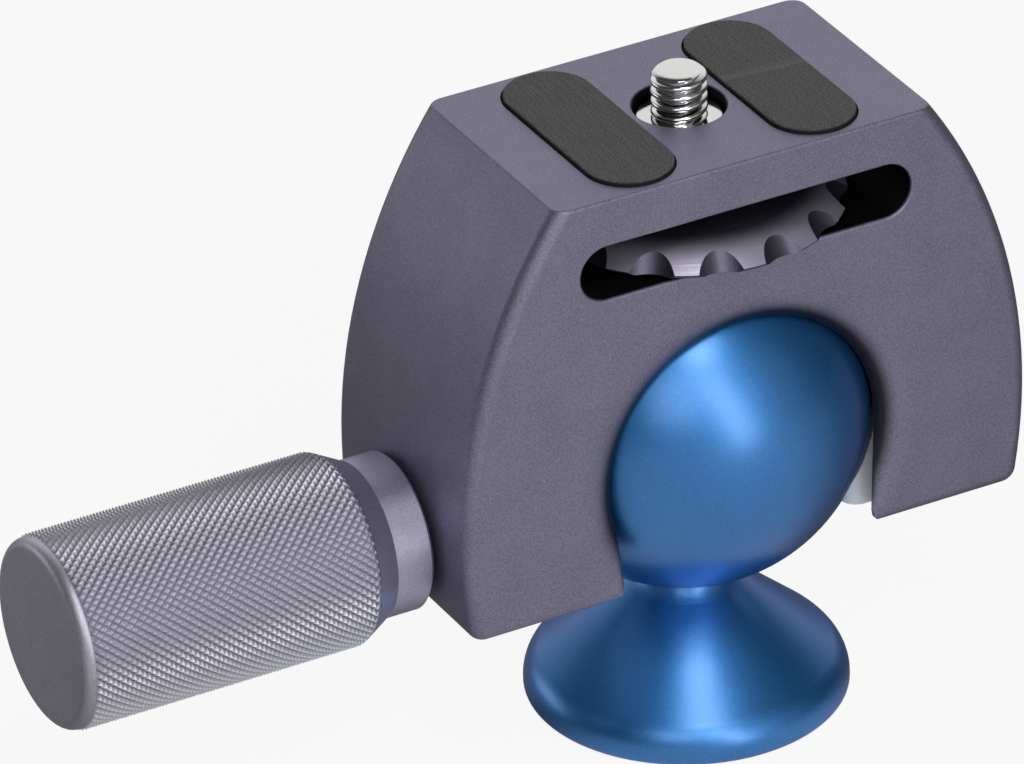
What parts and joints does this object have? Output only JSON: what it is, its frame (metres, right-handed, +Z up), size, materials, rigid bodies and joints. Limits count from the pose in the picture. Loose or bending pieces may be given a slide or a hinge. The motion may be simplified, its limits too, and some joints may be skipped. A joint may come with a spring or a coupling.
{
  "type": "tripod ball head",
  "caption": "Compact tripod ball head: a housing straddles a ball turned in one piece with its conical foot; a side knob clamps it, and a thumb wheel turns the captive camera screw.",
  "frame": {"origin": "centre of the foot's underside, at the mouth of the tripod thread", "axes": "+Z up along the tripod and camera screws, front face towards -Y, clamping knob towards -X"},
  "size_m": [0.1163, 0.042, 0.079],
  "materials": {
    "blue_anodised": "polished blue anodised",
    "grey_anodised": "fine-blasted grey-violet anodised",
    "grey_anodised_wheel": "turned grey-violet anodised",
    "knob_anodised": "turned and knurled grey-violet anodised",
    "cap_anodised": "satin dark grey anodised",
    "pad_rubber": "fine-textured grey rubber",
    "jaw_plastic": "white moulded acetal",
    "lining": "dark friction plastic",
    "steel": "turned steel",
    "brass_bush": "turned brass",
    "chrome_screw": "polished steel screw"
  },
  "bodies": {
    "foot": {"ball_foot": "blue_anodised", "tripod_bush": "steel"},
    "insert": {"fixed_jaw_insert": "lining"},
    "head": {"housing": "grey_anodised", "pad_left": "pad_rubber", "pad_right": "pad_rubber", "fixed_jaw": "jaw_plastic", "fixed_jaw_screws": "steel", "spindle_bush": "brass_bush", "screw_bush": "lining", "wheel_washer": "lining"},
    "jaw": {"moving_jaw": "jaw_plastic", "moving_jaw_insert": "lining", "thrust_plate": "steel"},
    "knob": {"spindle": "steel", "knob_grip": "knob_anodised", "knob_collar": "knob_anodised", "knob_end_cap": "cap_anodised", "knob_screw": "steel", "knob_washer": "steel", "spindle_washer": "lining"},
    "wheel": {"camera_screw": "chrome_screw", "thumb_wheel": "grey_anodised_wheel", "wheel_pin": "steel"}
  },
  "joints": [
    {"name": "pan", "type": "hinge", "parent": "foot", "child": "insert", "pos_m": [0, 0, 0.0369], "axis": [0, 0, 1], "continuous": true},
    {"name": "tilt", "type": "hinge", "parent": "insert", "child": "head", "pos_m": [0, 0, 0.0369], "axis": [1, 0, 0], "range_deg": [-110, 110]},
    {"name": "jaw_slide", "type": "slide", "parent": "head", "child": "jaw", "axis": [1, 0, 0], "range_m": [-0.0015, 0]},
    {"name": "knob_turn", "type": "hinge", "parent": "jaw", "child": "knob", "pos_m": [-0.06, 0, 0.0313], "axis": [1, 0, 0], "range_deg": [-432.5, 0]},
    {"name": "screw_turn", "type": "hinge", "parent": "head", "child": "wheel", "pos_m": [0, 0, 0.0656], "axis": [0, 0, 1], "continuous": true}
  ],
  "couplings": [
    {"joint": "knob_turn", "follows": "jaw_slide", "rad_per_m": 5026.5}
  ]
}
